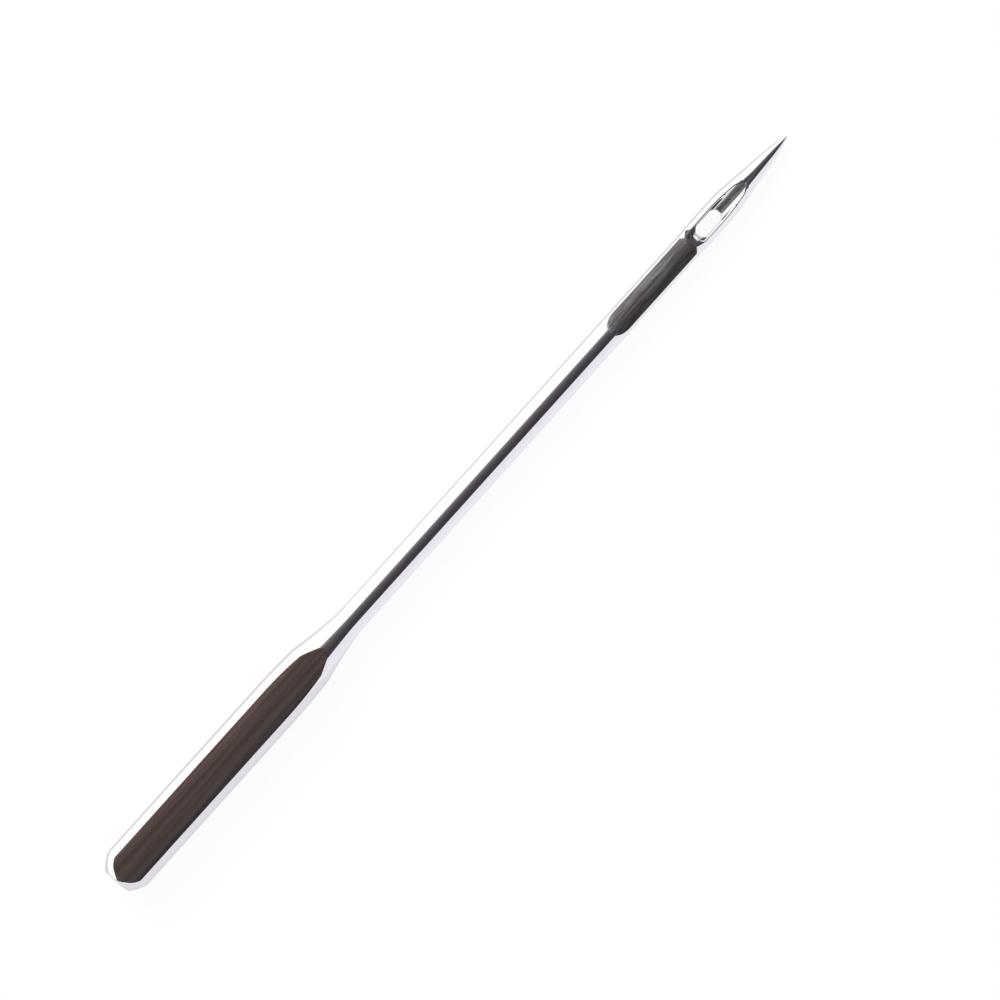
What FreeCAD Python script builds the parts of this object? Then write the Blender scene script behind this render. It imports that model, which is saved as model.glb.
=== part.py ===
import FreeCAD, Part
import math
import os
import re
import Sketcher

# Sewing machine needle with one flat on its shank, lying on its shoulder and its eye swell.
# In the needle's own frame X runs along the axis, from the butt at 0 to the tip, and Z points
# out of the flat and the scarf. The long groove is on the opposite side.
# All sizes are in millimetres and all angles in degrees.

SIZES = [
    # Lengths along the axis
    ("butt_to_eye", 33.9),
    ("eye_to_tip", 5.2),
    ("shank_length", 9.3),
    ("shoulder_length", 2.03),
    ("cone_length", 2.02),
    ("neck_length", 0.6),
    ("swell_length", 1.7),
    ("swell_to_tip", 4.0),
    # Shank, cone and blade
    ("shank_diameter", 2.02),
    ("flat_depth", 0.249),
    ("butt_bevel", 0.7),
    ("butt_inset", 0.41),
    ("butt_curve", 1.4),
    ("shoulder_drop", 0.075),
    ("cone_curve", 18.0),
    ("neck_rise", 0.03),
    ("blade_diameter", 1.13),
    ("swell_rise", 0.025),
    # Point
    ("point_curve", 7.0),
    ("nose_length", 1.05),
    ("nose_diameter", 0.547),
    ("tip_radius", 0.03),
    # Scarf behind the blade
    ("scarf_length", 4.57),
    ("scarf_depth", 0.19),
    ("scarf_to_eye", 0.55),
    ("scarf_curve", 1.5),
    ("scarf_ramp", 40.0),
    # Eye, with the recess round it, the short groove from it towards the tip and the sloped
    # approach to it from the scarf
    ("eye_length", 1.21),
    ("eye_width", 0.57),
    ("eye_corner", 0.26),
    ("recess_width", 0.77),
    ("recess_depth", 0.18),
    ("recess_past_eye", 0.18),
    ("recess_straight", 0.9),
    ("recess_length", 1.52),
    ("recess_end", 0.2),
    ("short_groove_radius", 0.56),
    ("short_groove_depth", 0.235),
    ("short_groove_level", 1.04),
    ("short_groove_curve", 0.84),
    ("approach_length", 0.26),
    ("approach_slope", 25.6),
    # Long groove down the front
    ("groove_start", 15.5),
    ("groove_width", 0.45),
    ("groove_depth", 0.44),
    ("groove_top_curve", 7.0),
    ("groove_eye_curve", 0.95),
    # Room by which a cutter stands clear of the metal that it removes
    ("clearance", 0.1),
]

# Sizes that follow from the ones above
DERIVED = [
    ("overall_length", "butt_to_eye + eye_to_tip"),
    ("eye_end", "butt_to_eye + eye_length"),
    ("shank_radius", "shank_diameter / 2"),
    ("blade_radius", "blade_diameter / 2"),
    ("swell_radius", "blade_radius + swell_rise"),
    ("butt_radius", "shank_radius - butt_inset"),
    ("flat_height", "shank_radius - flat_depth"),
    ("shoulder_end", "shank_length + shoulder_length"),
    ("shoulder_curve", "(shoulder_length ^ 2 + shoulder_drop ^ 2) / (2 * shoulder_drop)"),
    ("cone_end", "shoulder_end + cone_length"),
    ("neck_end", "cone_end + neck_length"),
    ("neck_curve", "(neck_length ^ 2 + neck_rise ^ 2) / (2 * neck_rise)"),
    ("swell_top", "overall_length - swell_to_tip"),
    ("swell_start", "swell_top - swell_length"),
    ("swell_curve", "(swell_length ^ 2 + swell_rise ^ 2) / (2 * swell_rise)"),
    # The point is an arc from the top of the swell, then a straight taper that leaves the arc
    # smoothly and ends where the nose starts.
    ("nose_start", "overall_length - nose_length"),
    ("nose_radius", "nose_diameter / 2"),
    ("taper_run", "nose_start - swell_top"),
    ("taper_rise", "nose_radius - swell_radius + point_curve"),
    ("taper_span", "sqrt(taper_run ^ 2 + taper_rise ^ 2)"),
    ("point_angle", "atan2(taper_run; taper_rise) - acos(point_curve / taper_span)"),
    ("taper_start", "swell_top + point_curve * sin(point_angle)"),
    ("taper_radius", "swell_radius - point_curve * (1 - cos(point_angle))"),
    # The nose is an arc that leaves the taper smoothly and meets the ball of the tip.
    # Its run and rise go from the taper's end to the ball's centre, both drawn in by the ball.
    ("nose_run", "nose_length - tip_radius + tip_radius * sin(point_angle)"),
    ("nose_rise", "tip_radius * cos(point_angle) - nose_radius"),
    ("nose_lean", "nose_run * sin(point_angle) + nose_rise * cos(point_angle)"),
    ("nose_inner", "(nose_run ^ 2 + nose_rise ^ 2) / (-2 * nose_lean)"),
    ("nose_curve", "nose_inner + tip_radius"),
    ("tip_sine", "nose_run / nose_inner + sin(point_angle)"),
    ("tip_cosine", "nose_rise / nose_inner + cos(point_angle)"),
    ("scarf_floor", "blade_radius - scarf_depth"),
    ("scarf_end", "butt_to_eye - scarf_to_eye"),
    ("scarf_start", "scarf_end - scarf_length"),
    ("scarf_run", "sqrt(2 * scarf_curve * scarf_depth - scarf_depth ^ 2)"),
    ("scarf_rise", "scarf_depth + clearance"),
    ("scarf_reach", "sqrt(2 * scarf_curve * scarf_rise - scarf_rise ^ 2)"),
    # The recess is round at its blade end, straight, then drawn in by an arc to its small end.
    ("recess_floor", "swell_radius - recess_depth"),
    ("recess_side", "recess_width / 2"),
    ("recess_start", "butt_to_eye - recess_past_eye"),
    ("recess_bend", "butt_to_eye + recess_straight"),
    ("recess_small", "eye_end + recess_length - recess_end"),
    ("recess_run", "recess_small - recess_bend"),
    ("recess_narrow", "2 * (recess_side - recess_end)"),
    ("recess_curve", "(recess_run ^ 2 + recess_side ^ 2 - recess_end ^ 2) / recess_narrow"),
    ("recess_part", "recess_end / (recess_curve - recess_end)"),
    ("recess_meet", "recess_small + recess_part * recess_run"),
    ("recess_meet_side", "recess_part * (recess_curve - recess_side)"),
    # The approach falls from the blade's surface to the recess's floor.
    ("approach_start", "recess_start - approach_length"),
    ("approach_foot", "approach_start + (blade_radius - recess_floor) / tan(approach_slope)"),
    ("approach_end", "recess_start + recess_side"),
    ("approach_top", "swell_radius + clearance"),
    ("approach_reach", "(approach_top - blade_radius) / tan(approach_slope)"),
    # The short groove is a wide hollow. Past its level run an arc brings its floor up and out.
    ("short_groove_axis", "swell_radius - short_groove_depth + short_groove_radius"),
    ("short_groove_start", "eye_end - eye_length / 2"),
    ("short_groove_bend", "eye_end + short_groove_level"),
    ("short_groove_run", "sqrt(2 * short_groove_curve * short_groove_depth - short_groove_depth ^ 2)"),
    ("short_groove_end", "short_groove_bend + short_groove_run"),
    ("groove_floor", "blade_radius - groove_depth"),
    ("groove_end", "butt_to_eye + eye_length / 2"),
    ("groove_reach", "groove_depth + clearance"),
    ("groove_top_turn", "acos(1 - groove_reach / groove_top_curve)"),
    ("groove_eye_turn", "acos(1 - groove_reach / groove_eye_curve)"),
    # At rest the needle lies on two arcs of its outline, the shoulder's and the swell's.
    # Its lean is the slope of the line that touches both.
    ("shoulder_centre", "shoulder_curve - shank_radius"),
    ("rest_run", "swell_top - shank_length"),
    ("rest_rise", "shoulder_centre - (point_curve - swell_radius)"),
    ("rest_span", "sqrt(rest_run ^ 2 + rest_rise ^ 2)"),
    ("lean", "asin((shoulder_curve - point_curve) / rest_span) - atan2(rest_rise; rest_run)"),
    ("rest_height", "shoulder_curve + shank_length * sin(lean) - shoulder_centre * cos(lean)"),
    ("rest_middle", "(overall_length * cos(lean) - butt_radius * sin(lean)) / 2"),
]

# A cut that takes less than this volume has missed the needle
LEAST_CUT = 0.001


def fill_sheet(doc):
    """Put every size into the sheet, one row each, with its name as the alias."""
    sheet = doc.addObject("Spreadsheet::Sheet", "sizes")
    rows = [(name, str(value)) for name, value in SIZES]
    rows += [(name, "=" + formula) for name, formula in DERIVED]
    for row, (name, content) in enumerate(rows, start=1):
        sheet.set(f"A{row}", name)
        sheet.set(f"B{row}", content)
        sheet.setAlias(f"B{row}", name)
    doc.recompute()
    return sheet


def sized(formula):
    """The formula with each of the sheet's names written as the document finds it."""
    names = {name for name, _ in SIZES + DERIVED}
    return re.sub(r"[a-z_]+", lambda word: ("sizes." if word[0] in names else "") + word[0], formula)


def arc_through(start, end, radius):
    """The short arc between two points; a positive radius bends it to the right of its way."""
    chord = end.sub(start)
    across = FreeCAD.Vector(chord.y, -chord.x, 0).normalize()
    side = math.copysign(1, radius)
    height = math.sqrt(radius ** 2 - (chord.Length / 2) ** 2)
    centre = start.add(end).multiply(0.5).add(across.multiply(side * height))
    circle = Part.Circle(centre, FreeCAD.Vector(0, 0, 1), abs(radius))
    first, last = (end, start) if radius > 0 else (start, end)
    return Part.ArcOfCircle(circle, circle.parameter(first), circle.parameter(last))


def draw(sketch, corners):
    """A closed outline. Each corner gives its two coordinates and, where the edge that leaves it
    is an arc, that arc's radius, positive where it bends clockwise."""
    places = []
    for along, up, _ in corners:
        values = [sketch.evalExpression(sized(part)) for part in (along, up)]
        places.append(FreeCAD.Vector(float(values[0]), float(values[1]), 0))
    starts = []
    ends = []
    for number, (_, _, bend) in enumerate(corners):
        start = places[number]
        end = places[(number + 1) % len(corners)]
        if bend is None:
            edge = sketch.addGeometry(Part.LineSegment(start, end), False)
            starts.append((edge, 1))
            ends.append((edge, 2))
            continue
        radius = float(sketch.evalExpression(sized(bend)))
        edge = sketch.addGeometry(arc_through(start, end, radius), False)
        starts.append((edge, 2 if radius > 0 else 1))
        ends.append((edge, 1 if radius > 0 else 2))
    for number, (along, up, bend) in enumerate(corners):
        edge, place = starts[number]
        before, before_place = ends[number - 1]
        sketch.addConstraint(Sketcher.Constraint("Coincident", before, before_place, edge, place))
        hold(sketch, "DistanceX", (edge, place), places[number].x, f"along_{number}", along)
        hold(sketch, "DistanceY", (edge, place), places[number].y, f"up_{number}", up)
        if bend is not None:
            size = abs(float(sketch.evalExpression(sized(bend))))
            hold(sketch, "Radius", (edge,), size, f"bend_{number}", bend.lstrip("-"))


def hold(sketch, kind, what, value, name, formula):
    """One dimension of a sketch, bound to a formula of the sheet's sizes."""
    index = sketch.addConstraint(Sketcher.Constraint(kind, *what, value))
    sketch.renameConstraint(index, name)
    sketch.setExpression(f"Constraints.{name}", sized(formula))


def new_sketch(body, name, plane, along_normal=None, up=None):
    """A sketch on one of the body's origin planes, moved out along its normal or up if asked."""
    sketch = body.newObject("Sketcher::SketchObject", name)
    origin_plane = [part for part in body.Origin.OriginFeatures if part.Role == plane][0]
    sketch.AttachmentSupport = [(origin_plane, "")]
    sketch.MapMode = "FlatFace"
    if along_normal is not None:
        sketch.setExpression("AttachmentOffset.Base.z", sized(along_normal))
    if up is not None:
        sketch.setExpression("AttachmentOffset.Base.y", sized(up))
    body.Document.recompute()
    return sketch


def remove(body, kind, name, sketch, **settings):
    """A cut by one sketch. It has to take metal away, or the model stops here."""
    before = body.Shape.Volume
    feature = body.newObject("PartDesign::" + kind, name)
    feature.Profile = sketch
    for setting, value in settings.items():
        if isinstance(value, str) and setting in ("Length", "Angle"):
            feature.setExpression(setting, sized(value))
        else:
            setattr(feature, setting, value)
    sketch.Visibility = False
    body.Document.recompute()
    if before - body.Shape.Volume < LEAST_CUT:
        raise RuntimeError(f"{name} takes no metal away")
    return feature


def turned_blank(body):
    """Butt, shank, cone, blade, swell and point: one outline turned about the axis."""
    sketch = new_sketch(body, "Outline", "XZ_Plane")
    draw(sketch, [
        ("0", "0", None),
        ("0", "butt_radius", "butt_curve"),
        ("butt_bevel", "shank_radius", None),
        ("shank_length", "shank_radius", "shoulder_curve"),
        ("shoulder_end", "shank_radius - shoulder_drop", "-cone_curve"),
        ("cone_end", "blade_radius + neck_rise", "-neck_curve"),
        ("neck_end", "blade_radius", None),
        ("swell_start", "blade_radius", "swell_curve"),
        ("swell_top", "swell_radius", "point_curve"),
        ("taper_start", "taper_radius", None),
        ("nose_start", "nose_radius", "nose_curve"),
        ("overall_length - tip_radius * (1 - tip_sine)", "tip_radius * tip_cosine", "tip_radius"),
        ("overall_length", "0", None),
    ])
    blank = body.newObject("PartDesign::Revolution", "Blank")
    blank.Profile = sketch
    blank.ReferenceAxis = (sketch, ["H_Axis"])
    blank.Angle = 360
    sketch.Visibility = False
    body.Document.recompute()


def shank_flat(body):
    """One flat along the shank, which runs out on the cone."""
    sketch = new_sketch(body, "FlatSide", "XZ_Plane")
    draw(sketch, [
        ("-clearance", "flat_height", None),
        ("-clearance", "shank_radius + clearance", None),
        ("cone_end", "shank_radius + clearance", None),
        ("cone_end", "flat_height", None),
    ])
    remove(body, "Pocket", "Flat", sketch, Midplane=True, Length="2 * shank_diameter")


def scarf(body):
    """A level floor across the back of the blade. It starts in a hollow curve and ends in a
    steep ramp before the eye."""
    sketch = new_sketch(body, "ScarfSide", "XZ_Plane")
    top = "blade_radius + clearance"
    draw(sketch, [
        ("scarf_start + scarf_run - scarf_reach", top, "-scarf_curve"),
        ("scarf_start + scarf_run", "scarf_floor", None),
        ("scarf_end", "scarf_floor", None),
        ("scarf_end + scarf_rise / tan(scarf_ramp)", top, None),
    ])
    remove(body, "Pocket", "Scarf", sketch, Midplane=True, Length="2 * blade_diameter")


def eye_recess(body):
    """The shallow recess round the eye and the short groove."""
    sketch = new_sketch(body, "RecessOutline", "XY_Plane", along_normal="recess_floor")
    round_end = "recess_start + recess_side"
    draw(sketch, [
        ("recess_start", "0", "recess_side"),
        (round_end, "recess_side", None),
        ("recess_bend", "recess_side", "recess_curve"),
        ("recess_meet", "recess_meet_side", "recess_end"),
        ("recess_small + recess_end", "0", "recess_end"),
        ("recess_meet", "-recess_meet_side", "recess_curve"),
        ("recess_bend", "-recess_side", None),
        (round_end, "-recess_side", "recess_side"),
    ])
    remove(body, "Pocket", "Recess", sketch, Reversed=True, Length="2 * swell_radius")


def approach(body):
    """A plane that falls from the blade to the recess's floor. It leaves a ridge where it meets
    the scarf's ramp."""
    sketch = new_sketch(body, "ApproachSide", "XZ_Plane")
    draw(sketch, [
        ("approach_start - approach_reach", "approach_top", None),
        ("approach_foot", "recess_floor", None),
        ("approach_end", "recess_floor", None),
        ("approach_end", "approach_top", None),
    ])
    remove(body, "Pocket", "Approach", sketch, Midplane=True, Length="2 * blade_diameter")


def short_groove(body):
    """A wide shallow groove from the eye towards the tip, where its floor rises and runs out."""
    sketch = new_sketch(body, "ShortGrooveSide", "XZ_Plane", up="short_groove_axis")
    draw(sketch, [
        ("short_groove_start", "0", None),
        ("short_groove_start", "short_groove_radius", None),
        ("short_groove_bend", "short_groove_radius", "short_groove_curve"),
        ("short_groove_end", "short_groove_radius - short_groove_depth", None),
        ("short_groove_end", "0", None),
    ])
    remove(body, "Groove", "ShortGroove", sketch, ReferenceAxis=(sketch, ["H_Axis"]), Angle=360)


def groove_section(body, name, station, top, centre):
    """The long groove's section: a round bottom, straight walls and an open mouth."""
    sketch = new_sketch(body, name, "YZ_Plane", along_normal=station, up=centre)
    side = "groove_width / 2"
    draw(sketch, [
        ("-" + side, f"{top} - {side}", side),
        ("0", top, side),
        (side, f"{top} - {side}", None),
        (side, f"{top} - groove_reach", None),
        ("-" + side, f"{top} - groove_reach", None),
    ])
    return sketch


def long_groove(body):
    """The groove down the front: a straight run with a curved run-out at each end."""
    run = groove_section(body, "GrooveSection", "groove_start", "0", "-groove_floor")
    length = "groove_end - groove_start"
    remove(body, "Pocket", "LongGroove", run, Reversed=True, Length=length)
    for name, station, curve, turn, reverse in (
        ("GrooveTop", "groove_start", "groove_top_curve", "groove_top_turn", True),
        ("GrooveEye", "groove_end", "groove_eye_curve", "groove_eye_turn", False),
    ):
        centre = f"-groove_floor - {curve}"
        section = groove_section(body, name + "Section", station, curve, centre)
        axis = (section, ["H_Axis"])
        remove(body, "Groove", name, section, ReferenceAxis=axis, Angle=turn, Reversed=reverse)


def eye(body):
    """The eye: a rounded slot right through the blade."""
    sketch = new_sketch(body, "EyeOutline", "XY_Plane")
    side = "eye_width / 2"
    draw(sketch, [
        ("butt_to_eye", "eye_corner - " + side, None),
        ("butt_to_eye", side + " - eye_corner", "eye_corner"),
        ("butt_to_eye + eye_corner", side, None),
        ("eye_end - eye_corner", side, "eye_corner"),
        ("eye_end", side + " - eye_corner", None),
        ("eye_end", "eye_corner - " + side, "eye_corner"),
        ("eye_end - eye_corner", "-" + side, None),
        ("butt_to_eye + eye_corner", "-" + side, "eye_corner"),
    ])
    remove(body, "Pocket", "Eye", sketch, Midplane=True, Length="4 * swell_radius")


def lay_down(body):
    """The pose at rest, with the middle of the needle's length over the origin."""
    body.Placement = FreeCAD.Placement(
        FreeCAD.Vector(0, 0, 0), FreeCAD.Rotation(FreeCAD.Vector(0, 1, 0), 1)
    )
    body.setExpression("Placement.Rotation.Angle", sized("lean"))
    body.setExpression("Placement.Base.x", sized("-rest_middle"))
    body.setExpression("Placement.Base.z", sized("rest_height"))
    body.Document.recompute()


def make_needle(doc):
    """The whole needle as one body."""
    body = doc.addObject("PartDesign::Body", "needle")
    body.Label = "needle"
    turned_blank(body)
    shank_flat(body)
    scarf(body)
    long_groove(body)
    eye_recess(body)
    approach(body)
    short_groove(body)
    eye(body)
    lay_down(body)
    return body


def check(doc, bodies):
    """Stops the script if any object failed or any body has no sound solid."""
    for part in doc.Objects:
        if "Invalid" in part.State or "Error" in part.State:
            raise RuntimeError(f"{part.Name} failed: {part.State}")
    for body in bodies:
        if body.Shape.isNull() or not body.Shape.isValid() or len(body.Shape.Solids) != 1:
            raise RuntimeError(f"{body.Label} is not one sound solid")


def main():
    doc = FreeCAD.newDocument("SewingMachineNeedle")
    fill_sheet(doc)
    bodies = [make_needle(doc)]
    doc.recompute()
    check(doc, bodies)
    os.makedirs("parts", exist_ok=True)
    for body in bodies:
        body.Shape.exportStep(os.path.join("parts", body.Label + ".step"))
        box = body.Shape.BoundBox
        print(body.Label, box, "volume", body.Shape.Volume)


main()
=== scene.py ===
import math

import bpy
import numpy as np
from bpy.props import FloatProperty, PointerProperty, StringProperty
from mathutils import Matrix, Vector


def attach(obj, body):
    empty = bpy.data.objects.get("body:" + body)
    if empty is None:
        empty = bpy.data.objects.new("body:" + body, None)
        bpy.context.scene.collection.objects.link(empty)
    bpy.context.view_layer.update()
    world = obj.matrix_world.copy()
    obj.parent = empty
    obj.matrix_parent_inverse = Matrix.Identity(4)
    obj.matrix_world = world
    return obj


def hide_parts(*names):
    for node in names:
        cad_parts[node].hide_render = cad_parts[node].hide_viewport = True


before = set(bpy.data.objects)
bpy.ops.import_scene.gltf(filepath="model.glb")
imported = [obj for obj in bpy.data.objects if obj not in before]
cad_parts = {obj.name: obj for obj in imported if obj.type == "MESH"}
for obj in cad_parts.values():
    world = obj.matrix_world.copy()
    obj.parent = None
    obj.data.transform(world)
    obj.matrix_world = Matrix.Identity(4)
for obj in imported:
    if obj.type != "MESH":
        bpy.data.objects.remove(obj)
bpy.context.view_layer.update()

bl_info = {
    "name": "Sewing machine needle",
    "version": (1, 0, 0),
    "blender": (4, 5, 0),
    "location": "View3D > Sidebar > Needle",
    "description": "A plated steel sewing machine needle lying on a pale floor",
    "category": "Add Mesh",
}

# Everything is in metres. In the needle's own frame x runs along the axis from the butt to the
# tip, and z points out of the flat and the scarf. The finished mesh is then leaned to its rest
# pose, which is the frame's.
MM = 0.001


def length(name, description, millimetres):
    """A length that a user can change, given in millimetres and kept in metres."""
    return FloatProperty(name=name, description=description, default=millimetres * MM, unit="LENGTH")


def angle(name, description, degrees):
    """An angle that a user can change, given in degrees and kept in radians."""
    return FloatProperty(name=name, description=description, default=math.radians(degrees), subtype="ANGLE")


def colour(name, description, code):
    """A colour that a user can change, as an sRGB hex code."""
    return StringProperty(name=name, description=description, default=code)


class TurnedSizes(bpy.types.PropertyGroup):
    """The outline that is turned about the needle's axis."""

    butt_to_eye: length("Butt to eye", "From the butt to the near end of the eye", 33.9)
    eye_to_tip: length("Eye to tip", "From the near end of the eye to the tip", 5.2)
    shank_length: length("Shank", "Length of the full round shank", 9.3)
    shank_diameter: length("Shank diameter", "Across the full round of the shank", 2.02)
    butt_bevel: length("Butt bevel", "Length of the bevel at the butt", 0.7)
    butt_inset: length("Butt inset", "How far the bevel draws the butt in", 0.41)
    butt_curve: length("Butt curve", "Radius along the butt's bevel", 1.4)
    shoulder_length: length("Shoulder", "Length of the shoulder", 2.03)
    shoulder_drop: length("Shoulder drop", "How far the shoulder falls", 0.075)
    cone_length: length("Cone", "Length of the cone down to the blade", 2.02)
    cone_curve: length("Cone curve", "Radius along the hollow cone", 18.0)
    neck_length: length("Neck", "Length of the neck between cone and blade", 0.6)
    neck_rise: length("Neck rise", "How far the neck rises to the cone", 0.03)
    blade_diameter: length("Blade diameter", "Across the blade", 1.13)
    swell_length: length("Swell", "From the blade to the top of the eye's swell", 1.7)
    swell_rise: length("Swell rise", "How far the swell stands over the blade", 0.025)
    swell_to_tip: length("Swell to tip", "From the top of the swell to the tip", 4.0)
    point_curve: length("Point curve", "Radius from the swell into the taper", 7.0)
    nose_length: length("Nose", "Length of the nose at the end of the taper", 1.05)
    nose_diameter: length("Nose diameter", "Across the taper where the nose starts", 0.547)
    tip_radius: length("Tip radius", "Radius of the ball at the tip", 0.03)
    corner_ease: length("Corner ease", "How far turned corners are rounded by polishing", 0.03)


class CutSizes(bpy.types.PropertyGroup):
    """What is ground and pressed into the turned blank."""

    flat_depth: length("Flat depth", "How deep the flat is cut into the shank", 0.249)
    scarf_length: length("Scarf", "Length of the scarf's level floor", 4.57)
    scarf_depth: length("Scarf depth", "How deep the scarf is cut into the blade", 0.19)
    scarf_to_eye: length("Scarf to eye", "From the end of the scarf's floor to the eye", 0.58)
    scarf_curve: length("Scarf curve", "Radius of the hollow at the scarf's start", 1.5)
    scarf_ramp: angle("Scarf ramp", "Slope of the ramp at the scarf's end", 40)
    flat_crown: length("Flat crown", "Radius across the flat, which polishing crowns", 14.0)
    scarf_crown: length("Scarf crown", "Radius across the scarf, which polishing crowns", 3.0)
    ground_edge: length("Ground edge", "Height over which the ground faces' edges are rounded", 0.008)
    eye_length: length("Eye length", "Length of the eye's slot", 1.21)
    eye_width: length("Eye width", "Width of the eye's slot", 0.57)
    eye_corner: length("Eye corner", "Radius of the slot's corners", 0.26)
    eye_ease: length("Eye ease", "Radius of the polished rim of the slot", 0.03)
    eye_head_ease: length("Eye head ease", "The same in the middle of its end by the scarf", 0.24)
    eye_head_half: length("Eye head half", "How far from the middle that wider rim reaches", 0.19)
    recess_width: length("Recess width", "Width of the recess round the eye", 0.79)
    recess_depth: length("Recess depth", "From the swell's top down to the recess's floor", 0.18)
    recess_past_eye: length("Recess past eye", "How far the recess starts before the eye", 0.18)
    recess_straight: length("Recess straight", "From the eye's near end to where the recess draws in", 0.9)
    recess_length: length("Recess length", "From the eye's far end to the end of the recess", 1.52)
    recess_end: length("Recess end", "Radius of the small end of the recess", 0.2)
    approach_length: length("Approach", "How far the slope down to the eye reaches past the recess", 0.26)
    approach_slope: angle("Approach slope", "Slope from the scarf's ramp down to the eye", 25.6)
    approach_hollow: length("Approach hollow", "Radius across the approach", 1.0)
    recess_slope: angle("Recess slope", "Slope of the recess's pressed wall", 24)
    recess_foot: length("Recess foot", "How far inside the outline that wall ends", 0.09)
    foot_ease: length("Foot ease", "Height over which the foot of that wall is rounded", 0.01)
    recess_rim: length("Recess rim", "Height over which the recess's rim is rounded", 0.035)
    approach_rim: length("Approach rim", "The same round the approach", 0.11)
    recess_end_rim: length("Recess end rim", "The same round the end of the short groove", 0.11)
    short_groove_radius: length("Short groove radius", "Radius of the short groove's hollow", 0.5)
    short_groove_depth: length("Short groove depth", "From the swell's top to the groove's bottom", 0.25)
    short_groove_level: length("Short groove level", "From the eye to where the groove's floor rises", 1.02)
    short_groove_curve: length("Short groove curve", "Radius by which its floor rises", 0.84)
    short_groove_ease: length("Short groove ease", "Height over which its edges are rounded", 0.012)
    # The next four sizes set the outline of the dark streaked patch beside the ramp; the mark in their
    # descriptions is that patch
    patch_length: length("Mark length", "From the approach's start to the wheel mark's corner", 0.234)
    patch_reach: length("Mark reach", "How far beside the axis the mark's corner is", 0.492)
    patch_slant: FloatProperty(name="Mark slant", description="How fast the mark widens", default=0.62)
    patch_return: FloatProperty(name="Mark return", description="How fast it narrows again", default=0.72)
    rough_aside: length("Rough aside", "How far the short groove's rough floor lies aside", 0.055)
    rough_half: length("Rough half", "Half its width by the eye", 0.155)
    rough_end_half: length("Rough end half", "Half its width where the groove's floor rises", 0.125)
    groove_start: length("Long groove start", "Where the long groove reaches its full depth", 15.5)
    groove_width: length("Long groove width", "Width of the long groove", 0.45)
    groove_depth: length("Long groove depth", "Depth of the long groove", 0.44)
    groove_top_curve: length("Long groove top curve", "Radius of its run-out by the shank", 7.0)
    groove_eye_curve: length("Long groove eye curve", "Radius of its run-out past the eye", 0.95)
    groove_lip: length("Long groove lip", "Radius of the groove's polished lips", 0.03)


class Finishes(bpy.types.PropertyGroup):
    """Colours of the metal's finishes, as sRGB hex codes. Across the ground flat and the scarf some of them
    are painted shade and painted light.
    """

    polished: colour("Polished steel", "Plated steel, polished bright", "#F3F2F4")
    # Across the flat the dark rim and dark side colours are painted shade and the light side and light edge
    # colours painted light; the middle colour is its own brown tint
    ground_rim_painted_shade: colour("Ground flat, dark rim", "Its tint at the rim away from the light", "#A29C9A")
    ground_painted_shade: colour("Ground flat, dark side", "Its tint away from the light", "#CBBDB5")
    ground: colour("Ground flat", "Plated steel over grinding lines, with a brown tint", "#D3BCAE")
    ground_painted_light_side: colour("Ground flat, light side", "Its tint towards the light", "#D1B9AC")
    ground_edge: colour("Ground flat, light edge", "Its tint along the edge by the light", "#EFD3C8")
    # Across the scarf the dark side colour is painted shade and the light side and light edge colours
    # painted light; the middle colour is its own grey
    scarf_painted_shade: colour("Ground scarf, dark side", "Its tint away from the light", "#BEBCBE")
    scarf: colour("Ground scarf", "The scarf's finer grinding lines under the plating", "#D6D5D6")
    scarf_painted_light: colour("Ground scarf, light side", "Its tint towards the light", "#F7F6F7")
    scarf_edge_painted_light: colour("Ground scarf, light edge", "Its tint along the edge by the light", "#DDDADA")
    groove_floor: colour("Groove floor", "Steel on the short groove's floor, left rough", "#C9CACC")
    # The dark streaked patch beside the ramp: its dark colour and its lighter streaks
    patch_dark: colour("Wheel mark, dark", "Dark steel where the scarf's wheel ran out", "#3C3939")
    patch_light: colour("Wheel mark, light", "Its lighter streaks", "#7E7978")
    pressed: colour("Pressed steel", "Plated steel inside the eye and the grooves", "#EEEDEF")


class StageSizes(bpy.types.PropertyGroup):
    """Camera, floor and light."""

    view_width: length("View width", "Width of the picture at the needle", 39.03)
    view_middle: length("View middle", "Place on the axis across from the picture's middle", 21.05)
    view_aside: length("View aside", "How far the picture's middle lies beside the axis", -1.18)
    view_turn: angle("View turn", "How steeply the needle rises across the picture", 47.99)
    view_roll: angle("View roll", "How far the flat is turned away from the camera", 1.8)
    lens: FloatProperty(name="Lens", description="Focal length", default=200.0, unit="CAMERA")
    sensor: FloatProperty(name="Sensor", description="Sensor width", default=36.0, unit="CAMERA")
    floor_side: length("Floor side", "Side of the square floor", 3000.0)
    floor_colour: colour("Floor", "Pale card", "#F2F2F5")
    # What the metal sees of the floor is painted: light on the window side, shade on the other side, a
    # shadow by the shank and a contact shadow close under the needle
    floor_painted_light: colour("Floor, bright side", "What the metal sees of the floor by the window", "#FFFFFF")
    floor_painted_contact_shadow: colour("Floor, under the needle", "What the metal sees close under itself", "#CDCFD0")
    floor_painted_shade: colour("Floor, pale side", "What the metal sees of it on the other side", "#E9E8EE")
    floor_painted_shank_shadow: colour("Floor, by the shank", "What the metal sees of it there by the shank", "#D9D8DC")
    lamp_energy: FloatProperty(name="Lamp", description="Power of the soft lamp", default=6.0, unit="POWER")
    lamp_size: length("Lamp size", "Side of the soft lamp", 500.0)


def leg(slope, base):
    """The other leg of a right-angled triangle: the root of the slope squared less the base
    squared, and nothing where the base is longer."""
    return np.sqrt(np.maximum(slope ** 2 - base ** 2, 0))


def sag(run, bend):
    """How far an arc of radius bend falls at a run from its top: the radius less the root of the
    radius squared less the run squared."""
    return bend - leg(bend, run)


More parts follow.
